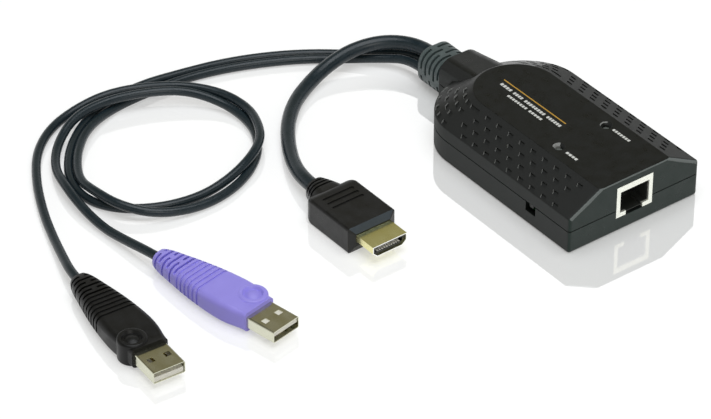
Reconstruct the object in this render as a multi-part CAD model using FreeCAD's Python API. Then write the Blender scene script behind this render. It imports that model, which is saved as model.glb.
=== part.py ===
import FreeCAD, Part
import math
import os

# Network KVM dongle: a hand-sized moulded box with a network socket in its
# front face, and a display plug and two USB plugs on three captive cords.
# Millimetres. +X points out of the network socket, +Z is up. The origin is
# on the surface that the box stands on, under the middle of box and gland.

V = FreeCAD.Vector

# ---- housing -----------------------------------------------------------
front_x = 55.5              # front face
body_half_width = 28.7
body_height = 21.0
seam_z = 8.7                # where the two covers meet
seam_gap = 0.35             # shadow line between the covers
shoulder_z = 14.0           # the flanks start to lean in here
side_length = 67.2          # straight sides, from the front face
rear_depth = 23.0           # rounded rear, behind the straight sides
plate_half_width = 15.5     # flat top
plate_length = 63.5         # flat top, front face to its round end
wall = 1.8
front_corner_radius = 1.2
bottom_edge_radius = 1.0
rim_radius = 0.5            # round the flat top and the front face's upper rim
shoulder_radius = 0.8

# ---- neck that carries the cord gland ----------------------------------
neck_end_x = -41.0
neck_root_x = -21.0
neck_half_width = 8.8
neck_top_z = 18.1
neck_root_half_width = 9.8
neck_root_top_z = 20.7
neck_corner_radius = 5.4
neck_bottom_radius = 2.0
neck_wall = 2.0             # its end wall, which the gland's groove grips

# ---- flank texture ------------------------------------------------------
pit_length = 2.7
pit_width = 1.5
pit_slant = 0.45
pit_depth = 0.6
pit_pitch = 6.2
pit_row_shift = 2.6
pit_rows = 4
pit_first_x = 48.0
pit_turn = 12.5             # degrees between pits round the rear

# ---- cord gland ---------------------------------------------------------
gland_end_x = -55.0
gland_half_width = 7.6
gland_bottom_z = 0.3
gland_top_z = 14.8
gland_corner_radius = 5.4
gland_slot_width = 1.0
gland_slot_depth = 1.3
gland_slot_pitch = 2.35
gland_slots = 5
gland_web = 2.6
gland_waist = 1.6           # how much slimmer it is in the neck's end wall
cord_strip = 0.45           # jacket's skin, cut back inside the gland
fit = 0.15                  # clearance of pieces that drop into each other

# ---- circuit board ------------------------------------------------------
board_bottom_z = 4.1
board_thickness = 1.6
board_edge_gap = 1.2
board_rear_x = -24.0
board_top_z = board_bottom_z + board_thickness

# ---- network socket -----------------------------------------------------
socket_width = 15.9
socket_height = 12.5
socket_depth = 21.0
socket_sheet = 0.4
socket_rim_thickness = 0.8
mouth_half_width = 6.3
mouth_bottom = 1.7          # above the socket's underside
mouth_height = 8.5
mouth_depth = 12.5
latch_half_width = 3.7
latch_depth = 8.0
socket_pins = 8
socket_pin_pitch = 1.02
socket_pin_width = 0.45

# ---- indicator lights ---------------------------------------------------
light_x = 27.5
light_y = 10.5
light_hole_radius = 1.4
light_dish_radius = 2.2
light_dish_depth = 0.9
pipe_radius = 1.3
pipe_flange_radius = 2.2
pipe_flange = 1.0
pipe_recess = 0.9
lamp_size = 1.6
lamp_height = 0.8

# ---- recovery slide switch ----------------------------------------------
switch_x = 35.0
switch_window_width = 5.2
switch_window_bottom = 5.1
switch_body_width = 8.6
switch_body_depth = 4.0
switch_body_height = 3.4
switch_slot = 4.6
knob_width = 2.2
knob_height = 1.7
knob_travel = 2.0
knob_recess = 1.1

# ---- screws -------------------------------------------------------------
front_screw_setback = 9.5
front_screw_inset = 8.2
rear_screw_inset = 10.2
screw_spacing = 58.0
front_screw_x = front_x - front_screw_setback
front_screw_y = body_half_width - front_screw_inset
rear_screw_x = front_screw_x - screw_spacing
rear_screw_y = body_half_width - rear_screw_inset
screw_places = ((front_screw_x, front_screw_y), (front_screw_x, -front_screw_y),
                (rear_screw_x, rear_screw_y), (rear_screw_x, -rear_screw_y))
screw_radius = 1.2
screw_length = 12.0
screw_head_radius = 2.5
screw_head_height = 1.7
screw_head_sink = 0.4
post_radius = 3.2
ring_radius = 4.4

# ---- USB plugs ----------------------------------------------------------
usb_shell_width = 12.0
usb_shell_height = 4.5
usb_sheet = 0.3
usb_exposed = 12.2
usb_buried = 6.0
usb_tongue_half_width = 5.5
usb_tongue_thickness = 1.9
usb_window_length = 2.2
usb_window_width = 2.3
usb_window_x = 6.3
usb_window_y = 3.1
usb_axis_z = 4.25
# stations along the grip: distance behind the mouth, half width, half
# height, radius of its long edges
usb_grip_stations = (
    (usb_exposed, 6.8, 3.75, 1.6),
    (19.0, 7.8, 3.9, 1.8),
    (29.0, 8.2, 3.95, 2.3),
    (37.0, 7.6, 3.95, 2.8),
    (45.0, 6.4, 3.9, 3.1),
    (51.5, 5.2, 3.75, 3.2),
    (56.4, 4.1, 3.4, 3.0),
    (58.2, 3.4, 2.95, 2.7),
)
usb_slot_first = 56.2
usb_slot_pitch = 2.1
usb_slot_width = 0.9
usb_slots_deep = 6
usb_slots_shallow = 6
usb_boss_x = 18.0
usb_boss_y = 3.2
usb_boss_radius = 5.2
usb_boss_half_height = 4.25
usb_boss_edge = 0.9
usb_dish_radius = 3.6
usb_dish_depth = 0.9
usb_dome_radius = 2.6       # low dome in the middle of the dish
usb_dome_height = 0.7

# ---- display plug -------------------------------------------------------
hdmi_half_width = 7.2
hdmi_height = 4.45
hdmi_floor_half_width = 5.4
hdmi_side_height = 2.6
hdmi_sheet = 0.35
hdmi_exposed = 9.2
hdmi_buried = 6.0
hdmi_axis_z = 5.1
hdmi_grip_half_width = 10.0
hdmi_grip_half_height = 5.1
hdmi_grip_end = 35.5
hdmi_bevel_length = 1.1     # steep bevel round the front of the grip
hdmi_bevel_drop = 2.6
hdmi_shoulder_radius = 4.5
hdmi_relief_end = 41.4
hdmi_pins_low = 10
hdmi_pins_high = 9
hdmi_pin_pitch = 1.0
hdmi_pin_width = 0.6

# ---- cords --------------------------------------------------------------
hdmi_cord_diameter = 5.3
usb_cord_diameter = 3.3

# Where each plug lies: mouth x, mouth y, heading of its mouth, roll.
hdmi_place = (20.8, -77.9, 0.6, 0.0)
usb_black_place = (31.4, -175.4, -3.8, 180.0)
usb_violet_place = (36.0, -132.2, 10.7, 0.0)


# ======================= shape helpers ===================================
def box(x0, x1, y0, y1, z0, z1):
    return Part.makeBox(x1 - x0, y1 - y0, z1 - z0, V(x0, y0, z0))


def post(radius, x, y, z0, z1):
    return Part.makeCylinder(radius, z1 - z0, V(x, y, z0))


def outline(half_width, front, straight_end, rear, z):
    """Closed outline: flat front, straight sides, half-ellipse rear."""
    front_left = V(front, half_width, z)
    rear_left = V(straight_end, half_width, z)
    rear_right = V(straight_end, -half_width, z)
    front_right = V(front, -half_width, z)
    apex = V(straight_end - rear, 0, z)
    if abs(rear - half_width) < 1e-6:
        curve = Part.Arc(rear_left, apex, rear_right).toShape()
    elif rear < half_width:
        ellipse = Part.Ellipse(rear_left, apex, V(straight_end, 0, z))
        curve = ellipse.toShape(0, math.pi)
    else:
        ellipse = Part.Ellipse(apex, rear_right, V(straight_end, 0, z))
        curve = ellipse.toShape(-math.pi / 2, math.pi / 2)
    return Part.Wire([
        Part.makeLine(front_right, front_left),
        Part.makeLine(front_left, rear_left),
        curve,
        Part.makeLine(rear_right, front_right),
    ])


def prism(wire, height):
    return Part.Face(wire).extrude(V(0, 0, height))


def rounded_section(x, half_width, z0, z1, top_radius, low_radius):
    """Rounded rectangle across X."""
    def corner(cy, cz, radius, start):
        mid = math.radians(start + 45)
        end = math.radians(start + 90)
        begin = math.radians(start)
        points = [V(x, cy + radius * math.cos(a), cz + radius * math.sin(a))
                  for a in (begin, mid, end)]
        return points
    arcs = [
        corner(half_width - top_radius, z1 - top_radius, top_radius, 0),
        corner(-half_width + top_radius, z1 - top_radius, top_radius, 90),
        corner(-half_width + low_radius, z0 + low_radius, low_radius, 180),
        corner(half_width - low_radius, z0 + low_radius, low_radius, 270),
    ]
    edges = []
    for number, arc in enumerate(arcs):
        edges.append(Part.Arc(*arc).toShape())
        following = arcs[(number + 1) % 4][0]
        if arc[2].distanceToPoint(following) > 1e-6:
            edges.append(Part.makeLine(arc[2], following))
    return Part.Wire(edges)


def bar(x0, x1, half_width, z0, z1, radius, low_radius=None):
    """Rounded rectangular bar along X."""
    low = radius if low_radius is None else low_radius
    section = rounded_section(x0, half_width, z0, z1, radius, low)
    return Part.Face(section).extrude(V(x1 - x0, 0, 0))


def polygon_prism(points, direction):
    corners = [V(*p) for p in points]
    return Part.Face(Part.makePolygon(corners + corners[:1])).extrude(V(*direction))


def fuse_all(shapes):
    return shapes[0].fuse(list(shapes[1:])).removeSplitter()


def edges_where(shape, test):
    return [edge for edge in shape.Edges if test(edge.BoundBox)]


# ======================= housing =========================================
side_end_x = front_x - side_length
plate_end_x = front_x - plate_length
lean_run = body_half_width - plate_half_width
lean_rise = body_height - shoulder_z
lean_length = math.hypot(lean_run, lean_rise)
lean_ny = lean_rise / lean_length
lean_nz = lean_run / lean_length


def body_solid(inset):
    """The box shape, or the same shape drawn in by a wall thickness."""
    plane = lean_ny * body_half_width + lean_nz * shoulder_z - inset
    half_width = body_half_width - inset
    top = body_height - inset
    low_z = (plane - lean_ny * half_width) / lean_nz
    top_half_width = (plane - lean_nz * top) / lean_ny
    front = front_x - inset
    rear = rear_depth - inset
    base = outline(half_width, front, side_end_x, rear, inset)
    low = prism(base, low_z - inset)
    shoulder = outline(half_width, front, side_end_x, rear, low_z)
    plate = outline(top_half_width, front, plate_end_x, top_half_width, top)
    high = Part.makeLoft([shoulder, plate], True, True)
    return low.fuse(high).removeSplitter()


def neck_solid(inset):
    end = neck_end_x + (neck_wall if inset else 0)
    radius = neck_corner_radius - inset
    low_radius = max(neck_bottom_radius - inset, 0.5)
    outer = rounded_section(end, neck_half_width - inset, inset,
                            neck_top_z - inset, radius, low_radius)
    inner = rounded_section(neck_root_x, neck_root_half_width - inset, inset,
                            neck_root_top_z - inset, radius, low_radius)
    return Part.makeLoft([outer, inner], True, True)


def round_body(solid):
    def shoulder(b):
        return (abs(b.ZMin - shoulder_z) < 0.01 and abs(b.ZMax - shoulder_z) < 0.01
                and b.XMin < front_x - 1)

    def upright(b):
        return b.XMin > front_x - 0.01 and b.ZMax - b.ZMin > 5 and b.YMax - b.YMin < 0.01
    solid = solid.makeFillet(shoulder_radius, edges_where(solid, shoulder))
    solid = solid.makeFillet(front_corner_radius, edges_where(solid, upright))
    low = edges_where(solid, lambda b: b.ZMax < 0.01)
    solid = solid.makeFillet(bottom_edge_radius, low)
    rim = edges_where(solid, lambda b: b.ZMin > body_height - 0.01)
    return solid.makeFillet(rim_radius, rim)


def pit(centre, along, across):
    """Slanted shallow pocket in a leaning wall."""
    half_length = pit_length / 2
    half_width = pit_width / 2
    normal = along.cross(across)
    base = centre - normal * pit_depth
    corners = []
    for u, v, shift in ((-1, -1, -1), (1, -1, -1), (1, 1, 1), (-1, 1, 1)):
        step = along * (u * half_length + shift * pit_slant)
        corners.append(base + step + across * (v * half_width))
    face = Part.Face(Part.makePolygon(corners + corners[:1]))
    return face.extrude(normal * (pit_depth + 0.6))


def flank_pits():
    """Staggered rows of pits along both flanks and round the rear."""
    pits = []
    for row in range(pit_rows):
        share = (row + 0.9) / pit_rows * 0.94
        y = plate_half_width + share * lean_run
        z = body_height - share * lean_rise
        down = V(0, lean_run, -lean_rise).normalize()
        x = pit_first_x - row * pit_row_shift % pit_pitch
        while x > side_end_x + 3.0:
            pits.append(pit(V(x, y, z), V(-1, 0, 0), down))
            mirrored = V(0, -down.y, down.z)
            pits.append(pit(V(x, -y, z), V(1, 0, 0), mirrored))
            x -= pit_pitch
        angle = 0.35 * pit_turn + row * pit_turn * pit_row_shift / pit_pitch % pit_turn
        while True:
            turn = math.radians(angle)
            top = V(plate_end_x - plate_half_width * math.sin(turn),
                    plate_half_width * math.cos(turn), body_height)
            low = V(side_end_x - rear_depth * math.sin(turn),
                    body_half_width * math.cos(turn), shoulder_z)
            centre = top + (low - top) * share
            if centre.y < neck_root_half_width + 1.4:
                break
            ahead = math.radians(angle + 1)
            top_ahead = V(plate_end_x - plate_half_width * math.sin(ahead),
                          plate_half_width * math.cos(ahead), body_height)
            low_ahead = V(side_end_x - rear_depth * math.sin(ahead),
                          body_half_width * math.cos(ahead), shoulder_z)
            along = (top_ahead + (low_ahead - top_ahead) * share - centre).normalize()
            across = (low - top).normalize()
            across = (across - along * across.dot(along)).normalize()
            pits.append(pit(centre, along, across))
            centre_right = V(centre.x, -centre.y, centre.z)
            along_right = V(-along.x, along.y, -along.z)
            across_right = V(across.x, -across.y, across.z)
            pits.append(pit(centre_right, along_right, across_right))
            angle += pit_turn
    return pits


def housing():
    """Both covers and their posts, split at the seam."""
    outside = round_body(body_solid(0.0)).fuse(neck_solid(0.0)).removeSplitter()
    hollow = body_solid(wall).fuse(neck_solid(wall)).removeSplitter()
    shell = outside.cut(hollow)
    opening = gland_core(neck_end_x - 1, neck_end_x + neck_wall + 1, fit)
    socket_z = board_top_z
    half_socket = socket_width / 2 + fit
    socket_hole = box(front_x - wall - 1, front_x + 1, -half_socket, half_socket,
                      socket_z - fit, socket_z + socket_height + fit)
    shell = shell.cut([opening, socket_hole])
    reach = 200
    above = box(-reach, reach, -reach, reach, seam_z + seam_gap, reach)
    below = box(-reach, reach, -reach, reach, -reach, seam_z)
    return top_cover(shell.common(above), outside), bottom_cover(shell.common(below))


def top_cover(cover, outside):
    posts = [post(post_radius, x, y, seam_z, body_height) for x, y in screw_places]
    carried = [p.common(outside) for p in posts]
    cover = fuse_all([cover] + carried)
    cuts = flank_pits()
    for x, y in screw_places:
        cuts.append(post(screw_radius + 0.02, x, y, seam_z - 1, screw_head_sink
                         + screw_head_height + screw_length + 0.5))
    for side in (1, -1):
        y = side * light_y
        cuts.append(post(light_hole_radius, light_x, y, body_height - wall - 1,
                         body_height + 1))
        cuts.append(Part.makeCone(light_hole_radius, light_dish_radius,
                                  light_dish_depth,
                                  V(light_x, y, body_height - light_dish_depth)))
    return cover.cut(cuts)


def bottom_cover(cover):
    lip_gap = 0.1
    lip_thickness = 0.9
    lip_rise = 1.4
    lip_root = 1.6
    outer = outline(body_half_width - wall - lip_gap, front_x - wall - lip_gap,
                    side_end_x, rear_depth - wall - lip_gap, seam_z - lip_root)
    inner_inset = wall + lip_gap + lip_thickness
    inner = outline(body_half_width - inner_inset, front_x - inner_inset,
                    side_end_x, rear_depth - inner_inset, seam_z - lip_root)
    root = outline(body_half_width - wall + 0.3, front_x - wall + 0.3,
                   side_end_x, rear_depth - wall + 0.3, seam_z - lip_root)
    height = lip_root + lip_rise
    lip = prism(outer, height).fuse(prism(root, lip_root)).cut(prism(inner, height))
    neck_gap = box(side_end_x - rear_depth, neck_root_x, -neck_root_half_width,
                   neck_root_half_width, 0, body_height)
    half_socket = socket_width / 2 + 0.6
    socket_gap = box(front_x - 10, front_x, -half_socket, half_socket, 0, body_height)
    half_switch = switch_body_width / 2 + 0.5
    switch_gap = box(switch_x - half_switch, switch_x + half_switch,
                     -body_half_width, -body_half_width + 6, 0, body_height)
    lip = lip.cut([neck_gap, socket_gap, switch_gap])
    parts = [cover, lip]
    cuts = []
    for x, y in screw_places:
        parts.append(post(ring_radius, x, y, wall - 0.5, board_bottom_z))
        parts.append(post(post_radius, x, y, wall - 0.5, seam_z))
        cuts.append(post(screw_radius + 0.2, x, y, -1, seam_z + 1))
        cuts.append(post(screw_head_radius + 0.2, x, y, -1,
                         screw_head_sink + screw_head_height))
    cuts.append(box(switch_x - switch_window_width / 2,
                    switch_x + switch_window_width / 2,
                    -body_half_width - 1, -body_half_width + wall + 1,
                    switch_window_bottom, seam_z + 1))
    return fuse_all(parts).cut(cuts)


# ======================= gland ===========================================
def gland_core(x0, x1, gap):
    """The slim part of the gland that passes through the neck's end wall."""
    inset = gland_waist - gap
    return bar(x0, x1, gland_half_width - inset, gland_bottom_z + inset,
               gland_top_z - inset, gland_corner_radius - inset)


def cable_gland():
    """Soft segmented strain relief, with a flange inside the neck."""
    outer = bar(gland_end_x, neck_end_x, gland_half_width, gland_bottom_z,
                gland_top_z, gland_corner_radius)
    rim = edges_where(outer, lambda b: b.XMax < gland_end_x + 0.01)
    outer = outer.makeFillet(0.6, rim)
    middle_z = (gland_bottom_z + gland_top_z) / 2
    depth = gland_slot_depth
    cuts = []
    for number in range(gland_slots):
        x0 = gland_end_x + 1.7 + number * gland_slot_pitch
        x1 = x0 + gland_slot_width
        slab = box(x0, x1, -20, 20, -20, 40)
        kept = [bar(x0, x1, gland_half_width - depth, gland_bottom_z + depth,
                    gland_top_z - depth, gland_corner_radius - depth)]
        shift = 1.6 if number % 2 else -1.6
        web = gland_web / 2
        kept.append(box(x0, x1, shift - web, shift + web, -20, 40))
        kept.append(box(x0, x1, -20, 20, middle_z - 1.5 - shift / 2 - web,
                        middle_z - 1.5 - shift / 2 + web))
        cuts.append(slab.cut(kept))
    outer = outer.cut(cuts)
    core = gland_core(neck_end_x - 0.5, neck_end_x + neck_wall + 0.5, 0)
    flange = bar(neck_end_x + neck_wall + 0.05, neck_end_x + neck_wall + 2.0,
                 neck_half_width - wall - fit, wall + fit,
                 neck_top_z - wall - 1.5, neck_corner_radius - wall)
    gland = fuse_all([outer, core, flange])
    reach_x = neck_end_x + neck_wall + 3
    bores = []
    for route, diameter in ((hdmi_route, hdmi_cord_diameter),
                            (usb_black_route, usb_cord_diameter),
                            (usb_violet_route, usb_cord_diameter)):
        start = route[0]
        bores.append(Part.makeCylinder(diameter / 2 - cord_strip, reach_x - start[0],
                                       V(start[0] + 3.0, start[1], start[2]),
                                       V(1, 0, 0)))
    return gland.cut(bores)


def inner_leads():
    """Cord ends inside the gland, and the wires on to the board's headers."""
    leads = []
    for route, diameter, target in (
            (hdmi_route, hdmi_cord_diameter, (hdmi_header_x, hdmi_header_y)),
            (usb_black_route, usb_cord_diameter, (usb_header_x, usb_header_y + 2)),
            (usb_violet_route, usb_cord_diameter, (usb_header_x, usb_header_y - 2))):
        x, y, z = route[0]
        stub = Part.makeCylinder(diameter / 2 - cord_strip - 0.05,
                                 neck_end_x + 7.0 - (x + 3.05), V(x + 3.05, y, z),
                                 V(1, 0, 0))
        start = V(neck_end_x + 6.5, y, z)
        end = V(target[0] - 1.2, target[1], board_top_z + 2.0)
        wire = Part.makeCylinder(0.6, start.distanceToPoint(end), start, end - start)
        leads.append(stub.fuse(wire))
    return Part.makeCompound(leads)


# ======================= board and what is on it =========================
hdmi_header_x = -19.0
hdmi_header_y = 5.0
usb_header_x = -19.0
usb_header_y = -8.0


def circuit_board():
    gap = wall + board_edge_gap
    blank = prism(outline(body_half_width - gap, front_x - wall - 0.4, side_end_x,
                          rear_depth - gap, board_bottom_z), board_thickness)
    blank = blank.common(box(board_rear_x, front_x, -40, 40, 0, 20))
    holes = [post(post_radius + fit, x, y, 0, 20) for x, y in screw_places]
    return blank.cut(holes)


def chip(x, y, width, depth, height):
    """Moulded chip body with bevelled top edges, on the board."""
    body = box(x - width / 2, x + width / 2, y - depth / 2, y + depth / 2,
               board_top_z, board_top_z + height)
    top = edges_where(body, lambda b: b.ZMin > board_top_z + height - 0.01)
    return body.makeChamfer(0.25, top)


def leaded_chip(x, y, size, height, legs):
    """Chip with a row of legs on each side."""
    parts = [chip(x, y, size, size, height)]
    pitch = (size - 2) / (legs - 1)
    reach = size / 2 + 1.0
    for number in range(legs):
        along = -size / 2 + 1 + number * pitch
        foot = board_top_z + 0.3
        parts.append(box(x - reach, x + reach, y + along - 0.15, y + along + 0.15,
                         board_top_z, foot))
        parts.append(box(x + along - 0.15, x + along + 0.15, y - reach, y + reach,
                         board_top_z, foot))
    return fuse_all(parts)


def header(x, y, pins):
    """White wire header: an open box on the board with its pins."""
    pitch = 1.25
    width = pins * pitch + 2.4
    shell = box(x - 2.2, x + 2.2, y - width / 2, y + width / 2,
                board_top_z, board_top_z + 4.0)
    hollow = box(x - 3.0, x + 1.2, y - width / 2 + 0.8, y + width / 2 - 0.8,
                 board_top_z + 0.9, board_top_z + 3.1)
    return shell.cut(hollow)


def capacitors():
    cans = []
    for x, y, radius, height in ((-3.0, -18.0, 2.5, 5.4), (3.5, -19.5, 2.5, 5.4),
                                 (20.0, 19.5, 3.1, 5.8)):
        base = box(x - radius, x + radius, y - radius, y + radius, board_top_z,
                   board_top_z + 1.0)
        can = post(radius * 0.95, x, y, board_top_z + 0.5, board_top_z + height)
        cans.append(base.fuse(can))
    return Part.makeCompound(cans)


def lamp(y):
    half = lamp_size / 2
    return box(light_x - half, light_x + half, y - half, y + half, board_top_z,
               board_top_z + lamp_height)


def light_pipe(y):
    """Clear pipe from the lamp up into the top cover's hole."""
    under = body_height - wall
    stem = post(pipe_radius, light_x, y, board_top_z + lamp_height + 0.2,
                body_height - light_dish_depth - pipe_recess)
    flange = post(pipe_flange_radius, light_x, y, under - pipe_flange, under)
    return stem.fuse(flange).removeSplitter()


def socket_shield():
    """Folded sheet box with a heavy front rim, open behind the latch."""
    half = socket_width / 2
    z0 = board_top_z
    z1 = z0 + socket_height
    x0 = front_x - socket_depth
    sheet = socket_sheet
    outside = box(x0, front_x, -half, half, z0, z1)
    inside = box(x0 + sheet, front_x - socket_rim_thickness, -half + sheet,
                 half - sheet, z0 + sheet, z1 - sheet)
    mouth = box(front_x - 2, front_x + 1, -mouth_half_width, mouth_half_width,
                z0 + mouth_bottom, z0 + mouth_bottom + mouth_height)
    latch = box(front_x - 2, front_x + 1, -latch_half_width, latch_half_width,
                z0 - 1, z0 + mouth_bottom + 1)
    return outside.cut([inside, mouth, latch])


def socket_insert():
    """Black moulding inside the shield, with the plug's cavity."""
    gap = socket_sheet + 0.05
    half = socket_width / 2 - gap
    z0 = board_top_z
    front = front_x - socket_rim_thickness - 0.05
    body = box(front_x - socket_depth + gap, front, -half, half, z0 + gap,
               z0 + socket_height - gap)
    cavity_z = z0 + mouth_bottom + 0.05
    cavity = box(front_x - mouth_depth, front + 1, -mouth_half_width + 0.05,
                 mouth_half_width - 0.05, cavity_z, cavity_z + mouth_height - 0.1)
    latch = box(front_x - latch_depth, front + 1, -latch_half_width + 0.1,
                latch_half_width - 0.1, z0 + 0.8, cavity_z + 1)
    return body.cut([cavity, latch])


def socket_contacts():
    """Eight sprung wires that slope down from the roof of the cavity."""
    roof = board_top_z + mouth_bottom + mouth_height - 0.05
    pins = []
    for number in range(socket_pins):
        y = (number - (socket_pins - 1) / 2) * socket_pin_pitch
        y0 = y - socket_pin_width / 2
        profile = ((front_x - 3.0, y0, roof), (front_x - 3.8, y0, roof),
                   (front_x - 10.5, y0, roof - 2.6), (front_x - 10.5, y0, roof - 3.0))
        pins.append(polygon_prism(profile, (0, socket_pin_width, 0)))
    return Part.makeCompound(pins)


def switch_body():
    """Slide switch on the board, its slot facing the side window."""
    y0 = -body_half_width + wall + 1.4
    half = switch_body_width / 2
    body = box(switch_x - half, switch_x + half, y0, y0 + switch_body_depth,
               board_top_z, board_top_z + switch_body_height)
    slot = box(switch_x - switch_slot / 2, switch_x + switch_slot / 2, y0 - 1,
               y0 + 1.6, board_top_z + 0.5, board_top_z + 0.5 + knob_height + 0.3)
    return body.cut(slot)


def switch_knob():
    """Knob at the rear end of its travel."""
    y1 = -body_half_width + wall + 1.4 + 1.3
    tip = -body_half_width + knob_recess
    x0 = switch_x - knob_travel / 2 - knob_width / 2
    z0 = board_top_z + 0.65
    knob = box(x0, x0 + knob_width, tip, y1, z0, z0 + knob_height)
    tips = edges_where(knob, lambda b: b.YMax < tip + 0.01)
    return knob.makeChamfer(0.25, tips)


def case_screws():
    """Pan-head screws, each with a cross recess, up into the top cover."""
    screws = []
    for x, y in screw_places:
        z0 = screw_head_sink
        z1 = z0 + screw_head_height
        head = post(screw_head_radius, x, y, z0, z1 - 0.02)
        rim = edges_where(head, lambda b: b.ZMax < z0 + 0.01)
        head = head.makeFillet(0.5, rim)
        shank = post(screw_radius, x, y, z1 - 0.5, z1 + screw_length)
        screw = head.fuse(shank)
        cross = [box(x - 1.5, x + 1.5, y - 0.3, y + 0.3, z0 - 1, z0 + 0.9),
                 box(x - 0.3, x + 0.3, y - 1.5, y + 1.5, z0 - 1, z0 + 0.9)]
        screws.append(screw.cut(cross))
    return Part.makeCompound(screws)


# ======================= plugs ===========================================
def place(shape, where, axis_z):
    """Lay a plug drawn with its mouth at the origin where it rests."""
    x, y, heading, roll = where
    moved = shape.copy()
    moved.rotate(V(0, 0, 0), V(1, 0, 0), roll)
    moved.rotate(V(0, 0, 0), V(0, 0, 1), heading)
    moved.translate(V(x, y, axis_z))
    return moved


def grip_size(distance):
    """The USB grip's half width, half height and edge radius behind its mouth."""
    for near, far in zip(usb_grip_stations, usb_grip_stations[1:]):
        if distance <= far[0]:
            share = (distance - near[0]) / (far[0] - near[0])
            return tuple(near[i] + share * (far[i] - near[i]) for i in (1, 2, 3))
    return usb_grip_stations[-1][1:]


def usb_grip():
    """Tapered moulding with finger ribs and a domed thumb dish on both faces."""
    sections = [rounded_section(-distance, half_width, -half_height, half_height,
                                corner, corner)
                for distance, half_width, half_height, corner in usb_grip_stations]
    grip = Part.makeLoft(sections, True, False)
    boss = Part.makeCylinder(usb_boss_radius, 2 * usb_boss_half_height,
                             V(-usb_boss_x, usb_boss_y, -usb_boss_half_height))
    rims = edges_where(boss, lambda b: b.ZMax - b.ZMin < 0.01)
    grip = grip.fuse(boss.makeFillet(usb_boss_edge, rims))
    floor = usb_boss_half_height - usb_dish_depth
    ball = (usb_dome_radius ** 2 + usb_dome_height ** 2) / (2 * usb_dome_height)
    cuts = []
    domes = []
    for side in (1, -1):
        start = V(-usb_boss_x, usb_boss_y, side * floor)
        up = V(0, 0, side)
        cuts.append(Part.makeCone(usb_dish_radius - 0.6, usb_dish_radius + 0.1,
                                  usb_dish_depth + 0.1, start, up))
        sphere = Part.makeSphere(ball, start + up * (usb_dome_height - ball))
        domes.append(sphere.common(Part.makeCylinder(usb_dome_radius + 0.1, 1.2,
                                                     start - up * 0.1, up)))
    for number in range(usb_slots_deep + usb_slots_shallow):
        deep = number < usb_slots_deep
        depth = 1.1 if deep else 0.35
        distance = usb_slot_first - number * usb_slot_pitch
        half_width, half_height, corner = grip_size(distance)
        x0 = -distance - usb_slot_width / 2
        x1 = x0 + usb_slot_width
        slab = box(x0, x1, -20, 20, -20, 20)
        kept = [bar(x0, x1, half_width - depth, -half_height + depth,
                    half_height - depth, corner - 0.8 * depth)]
        if deep and number % 2 == 0:
            kept.append(box(x0, x1, -0.9, 0.9, -20, 20))
        elif deep:
            side_web = half_height - 1.4
            kept.append(box(x0, x1, -20, 20, -side_web, side_web))
        cuts.append(slab.cut(kept))
    cuts.append(usb_shell_blank(0.0))
    cuts.append(Part.makeCylinder(usb_cord_diameter / 2, 3.0,
                                  V(-usb_grip_stations[-1][0] - 1, 0, 0), V(1, 0, 0)))
    return grip.cut(cuts).fuse(domes)


def usb_shell_blank(inset):
    half_width = usb_shell_width / 2 - inset
    half_height = usb_shell_height / 2 - inset
    return bar(-usb_exposed - usb_buried, 0 if inset == 0 else 1, half_width,
               -half_height, half_height, max(0.55 - inset, 0.2))


def usb_shell():
    """Folded steel sleeve with two latch windows in each broad face."""
    shell = usb_shell_blank(0.0).cut(usb_shell_blank(usb_sheet))
    windows = []
    for side in (1, -1):
        y = side * usb_window_y
        windows.append(box(-usb_window_x - usb_window_length / 2,
                           -usb_window_x + usb_window_length / 2,
                           y - usb_window_width / 2, y + usb_window_width / 2, -5, 5))
    return shell.cut(windows)


def usb_insert():
    """White tongue in the upper half of the sleeve, on a solid root."""
    top = usb_shell_height / 2 - usb_sheet - 0.03
    tongue = box(-usb_exposed, -0.4, -usb_tongue_half_width, usb_tongue_half_width,
                 top - usb_tongue_thickness, top)
    root = box(-usb_exposed - usb_buried + 0.5, -usb_exposed + 0.5,
               -usb_tongue_half_width, usb_tongue_half_width, -top, top)
    return tongue.fuse(root).removeSplitter()


def usb_contacts():
    """Four flat contacts on the tongue's underside."""
    under = usb_shell_height / 2 - usb_sheet - 0.03 - usb_tongue_thickness
    pads = []
    for y, length in ((-3.5, 9.0), (-1.0, 8.0), (1.0, 8.0), (3.5, 9.0)):
        pads.append(box(-usb_exposed + 0.5, -usb_exposed + 0.5 + length, y - 0.5,
                        y + 0.5, under - 0.15, under))
    return Part.makeCompound(pads)


def hdmi_profile(x, inset):
    """The sleeve's section: wide at the top, sloped in below."""
    top = hdmi_height / 2
    slope_z = top - hdmi_side_height
    wide = hdmi_half_width - inset
    low = hdmi_floor_half_width - inset * 0.6
    points = [V(x, wide, top - inset), V(x, -wide, top - inset), V(x, -wide, slope_z),
              V(x, -low, -top + inset), V(x, low, -top + inset), V(x, wide, slope_z)]
    return Part.makePolygon(points + points[:1])


def hdmi_prism(x0, x1, inset):
    return Part.Face(hdmi_profile(x0, inset)).extrude(V(x1 - x0, 0, 0))


def hdmi_shell():
    rear = -hdmi_exposed - hdmi_buried
    outside = hdmi_prism(rear, 0, 0)
    return outside.cut(hdmi_prism(rear - 1, 1, hdmi_sheet))


def hdmi_insert():
    """Black liner with the slot that the socket's tongue enters."""
    rear = -hdmi_exposed - hdmi_buried + 0.5
    body = hdmi_prism(rear, -0.7, hdmi_sheet + 0.03)
    slot = box(-6.5, 0, -5.7, 5.7, -0.75, 0.85)
    return body.cut(slot)


def hdmi_contacts():
    """Two staggered rows of contacts, below and above the slot."""
    pins = []
    for count, z0 in ((hdmi_pins_low, -0.75), (hdmi_pins_high, 0.6)):
        for number in range(count):
            y = (number - (count - 1) / 2) * hdmi_pin_pitch
            pins.append(box(-6.4, -0.9, y - hdmi_pin_width / 2, y + hdmi_pin_width / 2,
                            z0, z0 + 0.25))
    return Part.makeCompound(pins)


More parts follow.
